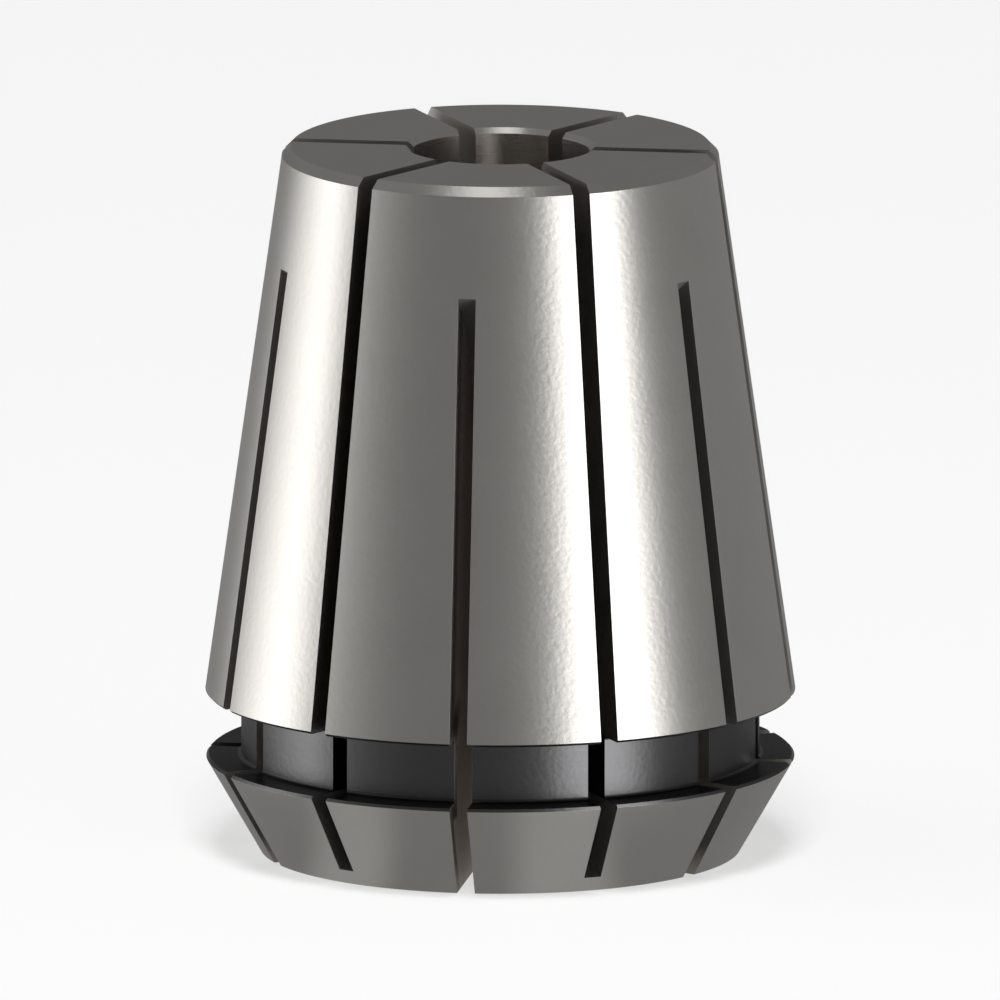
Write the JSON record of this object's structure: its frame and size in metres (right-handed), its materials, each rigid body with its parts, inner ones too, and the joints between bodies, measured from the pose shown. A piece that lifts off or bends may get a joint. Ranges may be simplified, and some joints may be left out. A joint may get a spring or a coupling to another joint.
{
  "type": "spring collet",
  "caption": "Spring collet with a long ground taper, a steep nose cone, a ring groove between them and a straight bore, slit lengthwise from both ends.",
  "frame": {"origin": "centre of the nose face, which the collet stands on", "axes": "+Z along the axis from the nose face to the back face; the middle of a leaf faces -Y, between a slot from the nose and a slot from the back"},
  "size_m": [0.033, 0.033, 0.04],
  "materials": {
    "steel": "fine ground tapers and end faces, blackened groove, plain bored and sawn walls"
  },
  "bodies": {
    "root": {"collet": "steel"}
  },
  "joints": []
}
